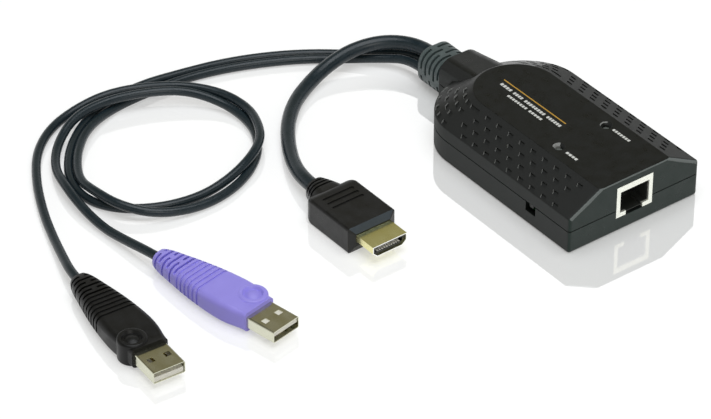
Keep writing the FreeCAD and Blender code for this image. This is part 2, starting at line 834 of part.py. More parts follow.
def hdmi_grip():
    """Square-shouldered moulding, bevelled at the mouth, with a short ribbed tail."""
    wide = hdmi_grip_half_width
    tall = hdmi_grip_half_height
    front = -hdmi_exposed - hdmi_bevel_length
    body = bar(-hdmi_grip_end, front, wide, -tall, tall, 1.0)
    shoulders = edges_where(body, lambda b: b.XMax < -hdmi_grip_end + 0.01
                            and b.YMax - b.YMin < 0.01)
    body = body.makeFillet(hdmi_shoulder_radius, shoulders)
    narrow = rounded_section(-hdmi_exposed, wide - hdmi_bevel_drop,
                             -tall + hdmi_bevel_drop, tall - hdmi_bevel_drop, 0.4, 0.4)
    full = rounded_section(front, wide, -tall, tall, 1.0, 1.0)
    nose = Part.makeLoft([narrow, full], True, True)
    sections = [rounded_section(-hdmi_grip_end + 3, 6.8, -4.8, 4.8, 3.7, 3.7),
                rounded_section(-hdmi_grip_end - 1.5, 5.7, -4.6, 4.6, 3.7, 3.7),
                rounded_section(-hdmi_relief_end, 4.2, -4.2, 4.2, 3.7, 3.7)]
    tail = Part.makeLoft(sections, True, False)
    grip = body.fuse([nose, tail])
    cuts = []
    for number in range(3):
        x0 = -hdmi_relief_end + 1.0 + number * 1.7
        slab = box(x0, x0 + 0.8, -20, 20, -20, 20)
        radius = 3.6 + number * 0.25
        cuts.append(slab.cut([bar(x0, x0 + 0.8, radius, -radius, radius, 3.0),
                              box(x0, x0 + 0.8, -20, 20, -0.8, 0.8)]))
    for distance in (28.6, 25.8, 23.0):
        for side in (1, -1):
            z0 = tall - 0.3 if side > 0 else -tall - 1
            cuts.append(box(-distance - 0.6, -distance + 0.6, -6.0, 6.0, z0, z0 + 1.3))
            for end in (6.0, -6.0):
                cuts.append(post(0.6, -distance, end, z0, z0 + 1.3))
    cuts.append(hdmi_prism(-hdmi_exposed - hdmi_buried, 1, 0))
    cuts.append(Part.makeCylinder(hdmi_cord_diameter / 2, 3.5,
                                  V(-hdmi_relief_end - 1, 0, 0), V(1, 0, 0)))
    return grip.cut(cuts)


# ======================= cords ===========================================
def behind(where, axis_z, distance):
    """A point on a plug's axis, a distance behind its mouth."""
    x, y, heading, _ = where
    turn = math.radians(heading)
    return (x - distance * math.cos(turn), y - distance * math.sin(turn), axis_z)


# Routes, from the gland's end face to the socket in each plug's tail.
cord_socket = 2.0           # how deep a cord's end sits in its plug's tail
hdmi_tail_straight = 6.0    # length over which a cord leaves its plug straight
usb_tail_straight = 5.0
usb_tail = usb_grip_stations[-1][0]

hdmi_route = [
    (-55, 0.3, 9.6), (-61, 0.2, 9.7), (-69.5, -3.4, 9.3), (-75.5, -10.4, 8.6),
    (-78.5, -19.7, 7.3), (-78.7, -29.6, 5.0), (-76.2, -39.8, 2.9), (-69.6, -51.6, 2.65),
    (-60, -61.5, 2.65), (-48.7, -69.3, 2.65), (-37.2, -75.2, 3.6),
    behind(hdmi_place, hdmi_axis_z, hdmi_relief_end + hdmi_tail_straight),
    behind(hdmi_place, hdmi_axis_z, hdmi_relief_end - cord_socket),
]
usb_black_route = [
    (-55, -1.1, 5.3), (-62.5, -1.2, 5.0), (-72.8, -6.8, 3.3), (-84, -17, 1.65),
    (-93, -28, 1.65), (-101, -42, 1.65), (-107, -57.5, 1.65), (-110.5, -74, 1.65),
    (-111, -90, 1.65), (-108.6, -105.6, 1.65), (-102.8, -119.9, 1.65),
    (-92.5, -132.6, 1.65), (-78.9, -141.1, 1.65), (-65.4, -142.4, 1.65),
    (-54.4, -135.8, 1.65), (-46.9, -123.7, 1.65), (-44.2, -109.7, 1.65),
    (-45, -97.4, 3.2), (-48.6, -85.6, 5.1), (-55.5, -76.1, 5.2), (-64.4, -71, 4.9),
    (-75.2, -67.4, 3.9), (-87.5, -69.7, 4.6), (-98.2, -77.8, 5.2), (-106.5, -90, 5.3),
    (-111.4, -103.5, 5.0), (-113, -116.3, 2.0), (-109.2, -129.7, 1.65),
    (-99.2, -141.5, 1.65), (-84.8, -150.7, 1.65), (-69, -158.2, 1.65), (-55.7, -163.1, 1.7),
    (-42, -167.8, 3.0),
    behind(usb_black_place, usb_axis_z, usb_tail + usb_tail_straight),
    behind(usb_black_place, usb_axis_z, usb_tail - cord_socket),
]
usb_violet_route = [
    (-55, -4.5, 5.3), (-62.5, -5, 5.0), (-71.4, -10.3, 3.2), (-83, -20.9, 1.65),
    (-91, -31.5, 1.65), (-98.1, -45.1, 1.65), (-103.6, -59.5, 1.65), (-106.9, -74.5, 1.65),
    (-107.3, -89.5, 1.65), (-105, -104.3, 1.65), (-99.6, -118, 1.65),
    (-89.6, -129.8, 1.65), (-76.5, -138, 2.6), (-65, -139.8, 5.1), (-52.9, -137.8, 5.2),
    (-43.4, -129, 3.1), (-39.2, -114, 1.65), (-40.8, -98.2, 1.65), (-48.8, -83.2, 1.65),
    (-61, -73.2, 1.65), (-73.8, -69.9, 1.65), (-85.6, -72.4, 3.2), (-95.8, -80.2, 5.5),
    (-102.7, -92, 5.8), (-107, -106.4, 5.8), (-106.3, -120.7, 5.2), (-99.6, -132.3, 2.2),
    (-88.3, -141, 2.0), (-75, -145.2, 4.0), (-62, -147, 3.0), (-49, -146.8, 1.8),
    (-38.2, -145.6, 2.8),
    behind(usb_violet_place, usb_axis_z, usb_tail + usb_tail_straight),
    behind(usb_violet_place, usb_axis_z, usb_tail - cord_socket),
]


def cord(name, route, diameter):
    """Round tube on straight runs joined by tangent arcs."""
    points = [V(*p) for p in route]
    runs = [b - a for a, b in zip(points, points[1:])]
    edges = []
    start = points[0]
    radii = []
    for number in range(1, len(points) - 1):
        before = runs[number - 1]
        after = runs[number]
        turn = before.getAngle(after)
        cut = 0.45 * min(before.Length, after.Length)
        radii.append(cut / math.tan(turn / 2))
        into = points[number] - V(before).normalize() * cut
        out = points[number] + V(after).normalize() * cut
        inward = V(after).normalize() - V(before).normalize()
        centre = points[number] + inward.normalize() * (radii[-1] / math.cos(turn / 2))
        middle = centre + (points[number] - centre).normalize() * radii[-1]
        edges.append(Part.makeLine(start, into))
        edges.append(Part.Arc(into, middle, out).toShape())
        start = out
    edges.append(Part.makeLine(start, points[-1]))
    path = Part.Wire(edges)
    circle = Part.Wire(Part.makeCircle(diameter / 2, points[0], runs[0]))
    tube = path.makePipeShell([circle], True, False)
    ideal = path.Length * math.pi * diameter ** 2 / 4
    print(name, "length %.1f" % path.Length, "least radius %.1f" % min(radii),
          "volume share %.4f" % (tube.Volume / ideal))
    return tube


# ======================= build ===========================================
def build():
    top, bottom = housing()
    parts = {
        "top_cover": top,
        "bottom_cover": bottom,
        "cable_gland": cable_gland(),
        "inner_leads": inner_leads(),
        "circuit_board": circuit_board(),
        "main_chip": leaded_chip(8.0, 0.0, 14.0, 1.4, 16),
        "video_chip": chip(-10.0, 4.0, 10.0, 10.0, 1.2),
        "memory_chip": chip(10.0, 15.0, 11.0, 7.0, 1.1),
        "flash_chip": chip(16.0, -14.5, 5.2, 5.2, 1.6),
        "network_transformer": chip(26.5, 0.0, 9.0, 14.0, 4.2),
        "clock_crystal": chip(-6.0, -9.0, 4.4, 10.0, 3.2),
        "power_capacitors": capacitors(),
        "display_wire_header": header(hdmi_header_x, hdmi_header_y, 8),
        "usb_wire_header": header(usb_header_x, usb_header_y, 5),
        "power_lamp": lamp(light_y),
        "link_lamp": lamp(-light_y),
        "power_light_pipe": light_pipe(light_y),
        "link_light_pipe": light_pipe(-light_y),
        "network_socket_shield": socket_shield(),
        "network_socket_insert": socket_insert(),
        "network_socket_contacts": socket_contacts(),
        "recovery_switch_body": switch_body(),
        "recovery_switch_knob": switch_knob(),
        "case_screws": case_screws(),
        "hdmi_plug_grip": place(hdmi_grip(), hdmi_place, hdmi_axis_z),
        "hdmi_plug_shell": place(hdmi_shell(), hdmi_place, hdmi_axis_z),
        "hdmi_plug_insert": place(hdmi_insert(), hdmi_place, hdmi_axis_z),
        "hdmi_plug_contacts": place(hdmi_contacts(), hdmi_place, hdmi_axis_z),
    }
    for colour, where in (("black", usb_black_place), ("violet", usb_violet_place)):
        for piece, shape in (("grip", usb_grip()), ("shell", usb_shell()),
                             ("insert", usb_insert()), ("contacts", usb_contacts())):
            name = "usb_%s_%s" % (colour, piece)
            parts[name] = place(shape, where, usb_axis_z)
    parts["hdmi_cord"] = cord("hdmi_cord", hdmi_route, hdmi_cord_diameter)
    parts["usb_black_cord"] = cord("usb_black_cord", usb_black_route, usb_cord_diameter)
    parts["usb_violet_cord"] = cord("usb_violet_cord", usb_violet_route,
                                    usb_cord_diameter)
    return parts


def save(parts):
    os.makedirs("parts", exist_ok=True)
    for name, shape in parts.items():
        state = "ok" if shape.isValid() else "NOT VALID"
        print("%-26s %d solids %9.1f mm3 %s" % (name, len(shape.Solids), shape.Volume,
                                                state))
        shape.exportStep(os.path.join("parts", name + ".step"))


save(build())
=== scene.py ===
import math
import bpy
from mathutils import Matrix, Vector


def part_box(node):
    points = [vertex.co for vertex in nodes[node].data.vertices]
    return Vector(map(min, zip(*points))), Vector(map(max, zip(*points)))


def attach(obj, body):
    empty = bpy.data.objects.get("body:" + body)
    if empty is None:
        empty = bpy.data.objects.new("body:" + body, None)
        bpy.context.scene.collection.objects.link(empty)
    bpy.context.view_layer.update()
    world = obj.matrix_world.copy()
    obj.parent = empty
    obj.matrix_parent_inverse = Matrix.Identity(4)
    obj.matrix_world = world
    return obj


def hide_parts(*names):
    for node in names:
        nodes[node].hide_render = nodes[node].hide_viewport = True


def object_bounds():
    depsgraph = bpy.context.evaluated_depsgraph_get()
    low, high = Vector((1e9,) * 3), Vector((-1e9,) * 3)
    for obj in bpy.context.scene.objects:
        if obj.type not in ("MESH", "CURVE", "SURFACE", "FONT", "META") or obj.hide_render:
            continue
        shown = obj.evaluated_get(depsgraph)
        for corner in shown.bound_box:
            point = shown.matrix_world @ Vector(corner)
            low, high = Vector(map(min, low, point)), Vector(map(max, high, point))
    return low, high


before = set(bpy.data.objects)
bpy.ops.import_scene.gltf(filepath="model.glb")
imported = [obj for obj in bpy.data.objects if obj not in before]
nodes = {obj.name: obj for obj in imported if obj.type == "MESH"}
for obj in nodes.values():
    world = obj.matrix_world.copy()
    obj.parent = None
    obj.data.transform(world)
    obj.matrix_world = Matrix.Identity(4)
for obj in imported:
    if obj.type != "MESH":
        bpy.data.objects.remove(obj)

cad_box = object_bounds()
mm = 0.001


# ---- Studio ---------------------------------------------------------------
# The dongle lies on a glossy white table top. The table is seen as plain
# white, and keeps the soft shadows and a faint reflection of what lies on it.
def new_material(name):
    """An empty material, with its node tree and its output node."""
    material = bpy.data.materials.new(name)
    material.use_nodes = True
    tree = material.node_tree
    tree.nodes.clear()
    output = tree.nodes.new("ShaderNodeOutputMaterial")
    return material, tree, output


def feed(tree, socket, value):
    """Links a socket to another node's output, or sets it to a constant."""
    if isinstance(value, bpy.types.NodeSocket):
        tree.links.new(value, socket)
    else:
        socket.default_value = value


def calculate(tree, operation, *values):
    """One math node on sockets or plain numbers; gives its result's socket."""
    node = tree.nodes.new("ShaderNodeMath")
    node.operation = operation
    for socket, value in zip(node.inputs, values):
        feed(tree, socket, value)
    return node.outputs[0]


def shown_white(tree, mirrored):
    """1 for rays from the lens, through glass, and off the named kind of mirror."""
    rays = tree.nodes.new("ShaderNodeLightPath")
    direct = calculate(tree, "MAXIMUM", rays.outputs["Is Camera Ray"],
                       rays.outputs[mirrored])
    return calculate(tree, "MAXIMUM", direct, rays.outputs["Is Transmission Ray"])


table_half = 3.0
table_gap = 0.02 * mm
table_mesh = bpy.data.meshes.new("table_top")
table_mesh.from_pydata([(-table_half, -table_half, 0), (table_half, -table_half, 0),
                        (table_half, table_half, 0), (-table_half, table_half, 0)],
                       [], [(0, 1, 2, 3)])
table_top = bpy.data.objects.new("table_top", table_mesh)
bpy.context.collection.objects.link(table_top)
table_top.location.z = cad_box[0][2] - table_gap

# A share of what falls on the table is mirrored, sharp, a share is matt, and the
# rest of its white is a glow. The polish is best where the box lies, and wears off
# toward the cords and plugs between the two places given for each axis.
polished_part = 0.35
worn_part = 0.13
matt_part = 0.52
mirror_and_glow = 0.57
polish_fades = (("X", -72 * mm, -48 * mm), ("Y", -62 * mm, -40 * mm))

table_white, tree, output = new_material("table_white")
place = tree.nodes.new("ShaderNodeTexCoord")
place_axes = tree.nodes.new("ShaderNodeSeparateXYZ")
tree.links.new(place.outputs["Object"], place_axes.inputs[0])
polish_edges = []
for axis, worn_to, polished_from in polish_fades:
    fade = tree.nodes.new("ShaderNodeMapRange")
    fade.interpolation_type = "SMOOTHSTEP"
    fade.inputs["From Min"].default_value = worn_to
    fade.inputs["From Max"].default_value = polished_from
    tree.links.new(place_axes.outputs[axis], fade.inputs["Value"])
    polish_edges.append(fade.outputs[0])
mirror_part = tree.nodes.new("ShaderNodeMapRange")
mirror_part.inputs["To Min"].default_value = worn_part
mirror_part.inputs["To Max"].default_value = polished_part
tree.links.new(calculate(tree, "MULTIPLY", *polish_edges), mirror_part.inputs["Value"])

matt = tree.nodes.new("ShaderNodeBsdfDiffuse")
matt.inputs["Color"].default_value = (matt_part, matt_part, matt_part, 1)
gloss = tree.nodes.new("ShaderNodeBsdfGlossy")
gloss.inputs["Roughness"].default_value = 0.0
tree.links.new(mirror_part.outputs[0], gloss.inputs["Color"])
glow = tree.nodes.new("ShaderNodeEmission")
glow_part = calculate(tree, "SUBTRACT", mirror_and_glow, mirror_part.outputs[0])
glow_strength = calculate(tree, "MULTIPLY", shown_white(tree, "Is Glossy Ray"), glow_part)
tree.links.new(glow_strength, glow.inputs["Strength"])
matt_and_gloss = tree.nodes.new("ShaderNodeAddShader")
tree.links.new(matt.outputs[0], matt_and_gloss.inputs[0])
tree.links.new(gloss.outputs[0], matt_and_gloss.inputs[1])
all_parts = tree.nodes.new("ShaderNodeAddShader")
tree.links.new(matt_and_gloss.outputs[0], all_parts.inputs[0])
tree.links.new(glow.outputs[0], all_parts.inputs[1])
tree.links.new(all_parts.outputs[0], output.inputs["Surface"])
table_mesh.materials.append(table_white)

# The room is white round the table and dim and warm overhead, so that upright
# faces reflect white and the flat top stays black. The table mirrors white.
room_colours = [(0.08, (1, 1, 1, 1)), (0.34, (0.62, 0.63, 0.62, 1)),
                (0.59, (0.28, 0.25, 0.15, 1)), (0.74, (0.11, 0.105, 0.08, 1)),
                (0.90, (0.05, 0.05, 0.045, 1))]

world = bpy.data.worlds.new("studio_room")
bpy.context.scene.world = world
world.use_nodes = True
tree = world.node_tree
tree.nodes.clear()
output = tree.nodes.new("ShaderNodeOutputWorld")
direction = tree.nodes.new("ShaderNodeTexCoord")
direction_axes = tree.nodes.new("ShaderNodeSeparateXYZ")
height_ramp = tree.nodes.new("ShaderNodeValToRGB")
stops = height_ramp.color_ramp.elements
stops[0].position, stops[0].color = room_colours[0]
stops[1].position, stops[1].color = room_colours[-1]
for height, colour in room_colours[1:-1]:
    stops.new(height).color = colour
room = tree.nodes.new("ShaderNodeBackground")
white = tree.nodes.new("ShaderNodeBackground")
white.inputs["Color"].default_value = (1, 1, 1, 1)
choose = tree.nodes.new("ShaderNodeMixShader")
tree.links.new(direction.outputs["Generated"], direction_axes.inputs[0])
tree.links.new(direction_axes.outputs["Z"], height_ramp.inputs["Fac"])
tree.links.new(height_ramp.outputs["Color"], room.inputs["Color"])
tree.links.new(shown_white(tree, "Is Singular Ray"), choose.inputs["Fac"])
tree.links.new(room.outputs[0], choose.inputs[1])
tree.links.new(white.outputs[0], choose.inputs[2])
tree.links.new(choose.outputs[0], output.inputs["Surface"])


def soft_lamp(name, location, target, width, depth, power, colour):
    """Rectangular softbox that faces the target."""
    lamp = bpy.data.lights.new(name, "AREA")
    lamp.shape = "RECTANGLE"
    lamp.size = width
    lamp.size_y = depth
    lamp.energy = power
    lamp.color = colour
    box = bpy.data.objects.new(name, lamp)
    bpy.context.collection.objects.link(box)
    box.location = location
    facing = Vector(target) - Vector(location)
    box.rotation_euler = facing.to_track_quat("-Z", "Y").to_euler()


table_middle = (-8 * mm, -70 * mm, 0)
soft_lamp("overhead_softbox", location=(0.05, -0.05, 0.95), target=table_middle,
          width=0.8, depth=0.8, power=7.0, colour=(0.94, 0.97, 1.0))
soft_lamp("side_softbox", location=(0.75, -0.35, 0.55), target=table_middle,
          width=0.5, depth=0.4, power=1.5, colour=(1.0, 0.98, 0.95))

# The lens looks down on the table from the socket's side.
look_at = Vector((-8.1 * mm, -70.6 * mm, 0))
azimuth = math.radians(52.99)
elevation = math.radians(36.26)
lens_distance = 1.3
focal_length = 192.1    # millimetres, as the sensor's width
sensor_width = 36.0
toward_lens = Vector((math.sin(azimuth) * math.cos(elevation),
                      -math.cos(azimuth) * math.cos(elevation),
                      math.sin(elevation)))
camera_data = bpy.data.cameras.new("camera")
camera_data.lens = focal_length
camera_data.sensor_width = sensor_width
camera = bpy.data.objects.new("camera", camera_data)
bpy.context.collection.objects.link(camera)
camera.location = look_at + toward_lens * lens_distance
camera.rotation_euler = (-toward_lens).to_track_quat("-Z", "Y").to_euler()
bpy.context.scene.camera = camera
bpy.context.scene.view_settings.view_transform = "Standard"


# ---- Cords ----------------------------------------------------------------
# Three captive cords in slate-grey jackets with a satin skin. The two thin
# USB cords lie side by side through one loop before they part.
def surface_grain_group():
    """Fine skin of a moulded or drawn surface: faint pits, rubbed and dull spots."""
    group = bpy.data.node_groups.new("surface_grain", "ShaderNodeTree")
    for name, in_out in (("Grain per metre", "INPUT"), ("Patch per metre", "INPUT"),
                         ("Height", "OUTPUT"), ("Patch", "OUTPUT")):
        group.interface.new_socket(name, in_out=in_out, socket_type="NodeSocketFloat")
    inside = group.nodes.new("NodeGroupInput")
    outside = group.nodes.new("NodeGroupOutput")
    place = group.nodes.new("ShaderNodeTexCoord")
    fine = group.nodes.new("ShaderNodeTexNoise")
    fine.inputs["Detail"].default_value = 2.0
    patch = group.nodes.new("ShaderNodeTexNoise")
    patch.inputs["Detail"].default_value = 3.0
    group.links.new(place.outputs["Object"], fine.inputs["Vector"])
    group.links.new(place.outputs["Object"], patch.inputs["Vector"])
    group.links.new(inside.outputs["Grain per metre"], fine.inputs["Scale"])
    group.links.new(inside.outputs["Patch per metre"], patch.inputs["Scale"])
    group.links.new(fine.outputs["Fac"], outside.inputs["Height"])
    group.links.new(patch.outputs["Fac"], outside.inputs["Patch"])
    return group


surface_grain = surface_grain_group()
patch_low = 0.3     # the patches' noise seldom leaves these two
patch_high = 0.7
mix_sockets = {"FLOAT": (2, 3, 0), "RGBA": (6, 7, 2)}    # first, second and result


def blend(tree, kind, share, first, second):
    """Mixes two values or two colours by a share; gives the result's socket."""
    node = tree.nodes.new("ShaderNodeMix")
    node.data_type = kind
    first_socket, second_socket, result = mix_sockets[kind]
    tree.links.new(share, node.inputs[0])
    feed(tree, node.inputs[first_socket], first)
    feed(tree, node.inputs[second_socket], second)
    return node.outputs[result]


def grained_finish(name, dark, light, roughness, grain, patch, bump,
                   specular=0.5, metallic=0.0, spread=0.08):
    """Solid material whose colour and gloss vary slightly with a fine grain."""
    material, tree, output = new_material(name)
    skin = tree.nodes.new("ShaderNodeBsdfPrincipled")
    skin.inputs["Specular IOR Level"].default_value = specular
    skin.inputs["Metallic"].default_value = metallic
    grain_node = tree.nodes.new("ShaderNodeGroup")
    grain_node.node_tree = surface_grain
    grain_node.inputs["Grain per metre"].default_value = grain
    grain_node.inputs["Patch per metre"].default_value = patch
    tone = blend(tree, "RGBA", grain_node.outputs["Patch"], (*dark, 1), (*light, 1))
    gloss = tree.nodes.new("ShaderNodeMapRange")
    gloss.inputs["From Min"].default_value = patch_low
    gloss.inputs["From Max"].default_value = patch_high
    gloss.inputs["To Min"].default_value = roughness - spread
    gloss.inputs["To Max"].default_value = roughness + spread
    relief = tree.nodes.new("ShaderNodeBump")
    relief.inputs["Strength"].default_value = 1.0
    relief.inputs["Distance"].default_value = bump
    tree.links.new(grain_node.outputs["Patch"], gloss.inputs["Value"])
    tree.links.new(grain_node.outputs["Height"], relief.inputs["Height"])
    tree.links.new(tone, skin.inputs["Base Color"])
    tree.links.new(gloss.outputs[0], skin.inputs["Roughness"])
    tree.links.new(relief.outputs[0], skin.inputs["Normal"])
    tree.links.new(skin.outputs[0], output.inputs["Surface"])
    return material


cord_jacket = grained_finish("cord_jacket", (0.010, 0.018, 0.023),
                             (0.015, 0.025, 0.032), roughness=0.27, grain=2600,
                             patch=240, bump=0.015 * mm, specular=0.34)


def laid_cord(name, route, diameter):
    """One smooth cord along its route, which is in metres."""
    curve = bpy.data.curves.new(name, "CURVE")
    curve.dimensions = "3D"
    spline = curve.splines.new("NURBS")
    spline.points.add(len(route) - 1)
    for point, place in zip(spline.points, route):
        point.co = (*place, 1)
    spline.order_u = 3
    spline.use_endpoint_u = True
    curve.resolution_u = 10
    curve.bevel_depth = diameter / 2
    curve.bevel_resolution = 6
    curve.use_fill_caps = True
    cord = bpy.data.objects.new(name, curve)
    bpy.context.collection.objects.link(cord)
    curve.materials.append(cord_jacket)
    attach(cord, "dongle")
    return cord


def behind(mouth_x, mouth_y, heading, axis_z, distance):
    """A point on a plug's axis, a distance behind its mouth, in metres. The
    heading is in degrees round from the box's length."""
    turn = math.radians(heading)
    return (mouth_x - distance * math.cos(turn), mouth_y - distance * math.sin(turn),
            axis_z)


display_diameter = 0.0053
usb_diameter = 0.0033
display_plug = (0.0208, -0.0779, 0.6, 0.0051)
black_plug = (0.0314, -0.1754, -3.8, 0.00425)
violet_plug = (0.0360, -0.1322, 10.7, 0.00425)

display_route = [
    (-0.055, 0.0003, 0.0096), (-0.061, 0.0002, 0.0097), (-0.0695, -0.0034, 0.0093),
    (-0.0755, -0.0104, 0.0086), (-0.0785, -0.0197, 0.0073), (-0.0787, -0.0296, 0.005),
    (-0.0762, -0.0398, 0.0029), (-0.0696, -0.0516, 0.00265), (-0.06, -0.0615, 0.00265),
    (-0.0487, -0.0693, 0.00265), (-0.0372, -0.0752, 0.0036),
    behind(*display_plug, 0.0474), behind(*display_plug, 0.0394),
]
display_cord = laid_cord("display_cord", display_route, display_diameter)
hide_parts("hdmi_cord")

black_route = [
    (-0.055, -0.0011, 0.0053), (-0.0639, -0.0002, 0.005), (-0.0742, -0.0057, 0.0033),
    (-0.084, -0.017, 0.00165), (-0.093, -0.028, 0.00165), (-0.101, -0.042, 0.00165),
    (-0.107, -0.0575, 0.00165), (-0.1105, -0.074, 0.00165), (-0.1129, -0.0886, 0.00165),
    (-0.111, -0.1059, 0.00165), (-0.1034, -0.1207, 0.00165), (-0.0925, -0.1326, 0.00165),
    (-0.0789, -0.1411, 0.00165), (-0.0654, -0.1424, 0.00165), (-0.0544, -0.1358, 0.00165),
    (-0.0469, -0.1237, 0.00165), (-0.0442, -0.1097, 0.00165), (-0.045, -0.0974, 0.0032),
    (-0.0486, -0.0856, 0.0051), (-0.0555, -0.0761, 0.0052), (-0.0644, -0.071, 0.0049),
    (-0.0752, -0.0674, 0.0039), (-0.0875, -0.0697, 0.0046), (-0.0982, -0.0778, 0.0052),
    (-0.1065, -0.09, 0.0053), (-0.1114, -0.1035, 0.005), (-0.113, -0.1163, 0.0026),
    (-0.1092, -0.1297, 0.00165), (-0.0992, -0.1415, 0.00165), (-0.0848, -0.1507, 0.00165),
    (-0.069, -0.1582, 0.00165), (-0.0557, -0.1631, 0.0017), (-0.042, -0.1678, 0.003),
    behind(*black_plug, 0.0632), behind(*black_plug, 0.0562),
]
black_usb_cord = laid_cord("black_usb_cord", black_route, usb_diameter)
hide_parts("usb_black_cord")

violet_route = [
    (-0.055, -0.0045, 0.0053), (-0.0637, -0.0041, 0.005), (-0.0723, -0.0096, 0.0032),
    (-0.083, -0.0209, 0.00165), (-0.091, -0.0315, 0.00165), (-0.0981, -0.0451, 0.00165),
    (-0.1036, -0.0595, 0.00165), (-0.1069, -0.0745, 0.00165), (-0.1073, -0.0895, 0.00165),
    (-0.1063, -0.1050, 0.0018), (-0.1005, -0.1192, 0.0029), (-0.0901, -0.1305, 0.0029),
    (-0.0760, -0.1392, 0.0034), (-0.065, -0.1398, 0.0051), (-0.0529, -0.1378, 0.0052),
    (-0.0434, -0.129, 0.0031), (-0.0392, -0.114, 0.00165), (-0.0408, -0.0982, 0.00165),
    (-0.0488, -0.0832, 0.00165), (-0.061, -0.0732, 0.00165), (-0.0738, -0.0699, 0.00165),
    (-0.0856, -0.0724, 0.0032), (-0.0958, -0.0802, 0.0055), (-0.1027, -0.092, 0.0058),
    (-0.107, -0.1064, 0.0058), (-0.1063, -0.1207, 0.0052), (-0.0996, -0.1323, 0.0022),
    (-0.0883, -0.141, 0.002), (-0.075, -0.1452, 0.004), (-0.062, -0.147, 0.003),
    (-0.049, -0.1468, 0.0018), (-0.0382, -0.1456, 0.0028),
    behind(*violet_plug, 0.0632), behind(*violet_plug, 0.0562),
]
violet_usb_cord = laid_cord("violet_usb_cord", violet_route, usb_diameter)
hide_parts("usb_violet_cord")


# ---- Covers ---------------------------------------------------------------
# Two injection-moulded halves in black ABS with a fine spark texture, closed
# by four screws from below. The top carries a thin amber rule and pale bars.
def paint(node_name, material):
    """Gives a moulded or pressed piece its finish all over."""
    mesh = nodes[node_name].data
    mesh.materials.clear()
    mesh.materials.append(material)


def mask_group(name, boxes, facing=None, limit=0.5):
    """Mask of what lies in any of the boxes, each a centre and three half sizes, of
    which 0 sets no bound, and of those faces alone that look along facing."""
    group = bpy.data.node_groups.new(name, "ShaderNodeTree")
    group.interface.new_socket("Mask", in_out="OUTPUT", socket_type="NodeSocketFloat")
    outside = group.nodes.new("NodeGroupOutput")
    place = group.nodes.new("ShaderNodeTexCoord")
    axes = group.nodes.new("ShaderNodeSeparateXYZ")
    group.links.new(place.outputs["Object"], axes.inputs[0])
    mask = None
    for centre, half in boxes:
        inside = None
        for axis, middle, reach in zip("XYZ", centre, half):
            if reach:
                near = calculate(group, "COMPARE", axes.outputs[axis], middle, reach)
                inside = near if inside is None else calculate(group, "MULTIPLY",
                                                               inside, near)
        mask = inside if mask is None else calculate(group, "MAXIMUM", mask, inside)
    if facing:
        along = group.nodes.new("ShaderNodeVectorMath")
        along.operation = "DOT_PRODUCT"
        along.inputs[1].default_value = facing
        group.links.new(place.outputs["Normal"], along.inputs[0])
        turned = calculate(group, "GREATER_THAN", along.outputs["Value"], limit)
        mask = calculate(group, "MULTIPLY", mask, turned)
    group.links.new(mask, outside.inputs["Mask"])
    return group


front, _, top_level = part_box("top_cover")[1]
ink_depth = 0.05 * mm


def broken_bar(x0, x1, y, width, block=1.0 * mm, gap=0.35 * mm):
    """A pale bar in short blocks, as centre and half sizes of each."""
    count = max(1, round((x1 - x0 + gap) / (block + gap)))
    step = (x1 - x0 + gap) / count
    return [((x0 + number * step + (step - gap) / 2, y, top_level),
             ((step - gap) / 2, width / 2, ink_depth)) for number in range(count)]


amber_rule = [((1.6 * mm, -0.1 * mm, top_level), (16.9 * mm, 0.25 * mm, ink_depth))]
pale_bars = []
for x0, x1, y, width in ((-14.0, -8.3, -2.5, 1.3), (-6.9, -2.2, -2.5, 1.3),
                         (-0.8, 9.9, -2.5, 1.3), (11.3, 18.6, -2.5, 1.3),
                         (-6.9, 3.4, -5.2, 1.1), (4.8, 11.6, -5.2, 1.1),
                         (31.7, 37.3, -10.7, 1.1), (30.9, 39.6, 10.7, 1.1)):
    pale_bars += broken_bar(x0 * mm, x1 * mm, y * mm, width * mm)


def lay_over(material, socket_name, kind, masks_and_values):
    """Lays masked values over what feeds one socket of a finish, last on top."""
    tree = material.node_tree
    skin = next(node for node in tree.nodes if node.type == "BSDF_PRINCIPLED")
    result = skin.inputs[socket_name].links[0].from_socket
    for group, value in masks_and_values:
        mask = tree.nodes.new("ShaderNodeGroup")
        mask.node_tree = group
        result = blend(tree, kind, mask.outputs["Mask"], result, value)
    tree.links.new(result, skin.inputs[socket_name])


def tint(material, inks):
    """Lays masked colours over a finish."""
    lay_over(material, "Base Color", "RGBA", [(mask, (*ink, 1)) for mask, ink in inks])


def dull(material, masks, roughness):
    """Gives the masked faces a rougher moulded texture."""
    lay_over(material, "Roughness", "FLOAT", [(mask, roughness) for mask in masks])


# The flanks have a coarser texture than the flat top. The upright sides and the front
# face are a little greyer. The front's upper rim is painted pale as a painted highlight,
# and the ends of the near pits and of the light holes are painted pale as painted
# highlights.
whole_cover = [((0, 0, 0), (60 * mm, 0, 0))]
flanks = [mask_group("near_flank", whole_cover, facing=(0, -1, 0), limit=0.40),
          mask_group("far_flank", whole_cover, facing=(0, 1, 0), limit=0.40)]
upright_sides = [mask_group("near_side", whole_cover, facing=(0, -1, 0), limit=0.90),
                 mask_group("far_side", whole_cover, facing=(0, 1, 0), limit=0.90)]
front_mask = mask_group("front_face", [((front, 0, 0), (2.5 * mm, 0, 0))],
                        facing=(1, 0, 0), limit=0.45)
rim_highlight_mask = mask_group("front_rim", [((front, 0, 0), (1.2 * mm, 0, 0))],
                         facing=(0.8, 0, 0.6), limit=0.87)
# The front-facing ends of the near pits and the upper rims of the light holes get a pale
# grey painted highlight.
near_pits = ((-5 * mm, -15 * mm, 0), (55 * mm, 14.5 * mm, 0))
light_holes = ((27.5 * mm, 0, top_level), (3 * mm, 14 * mm, 0.32 * mm))
painted_glint_mask = mask_group("pit_ends", [near_pits, light_holes],
                        facing=(1, 0, 0), limit=0.45)

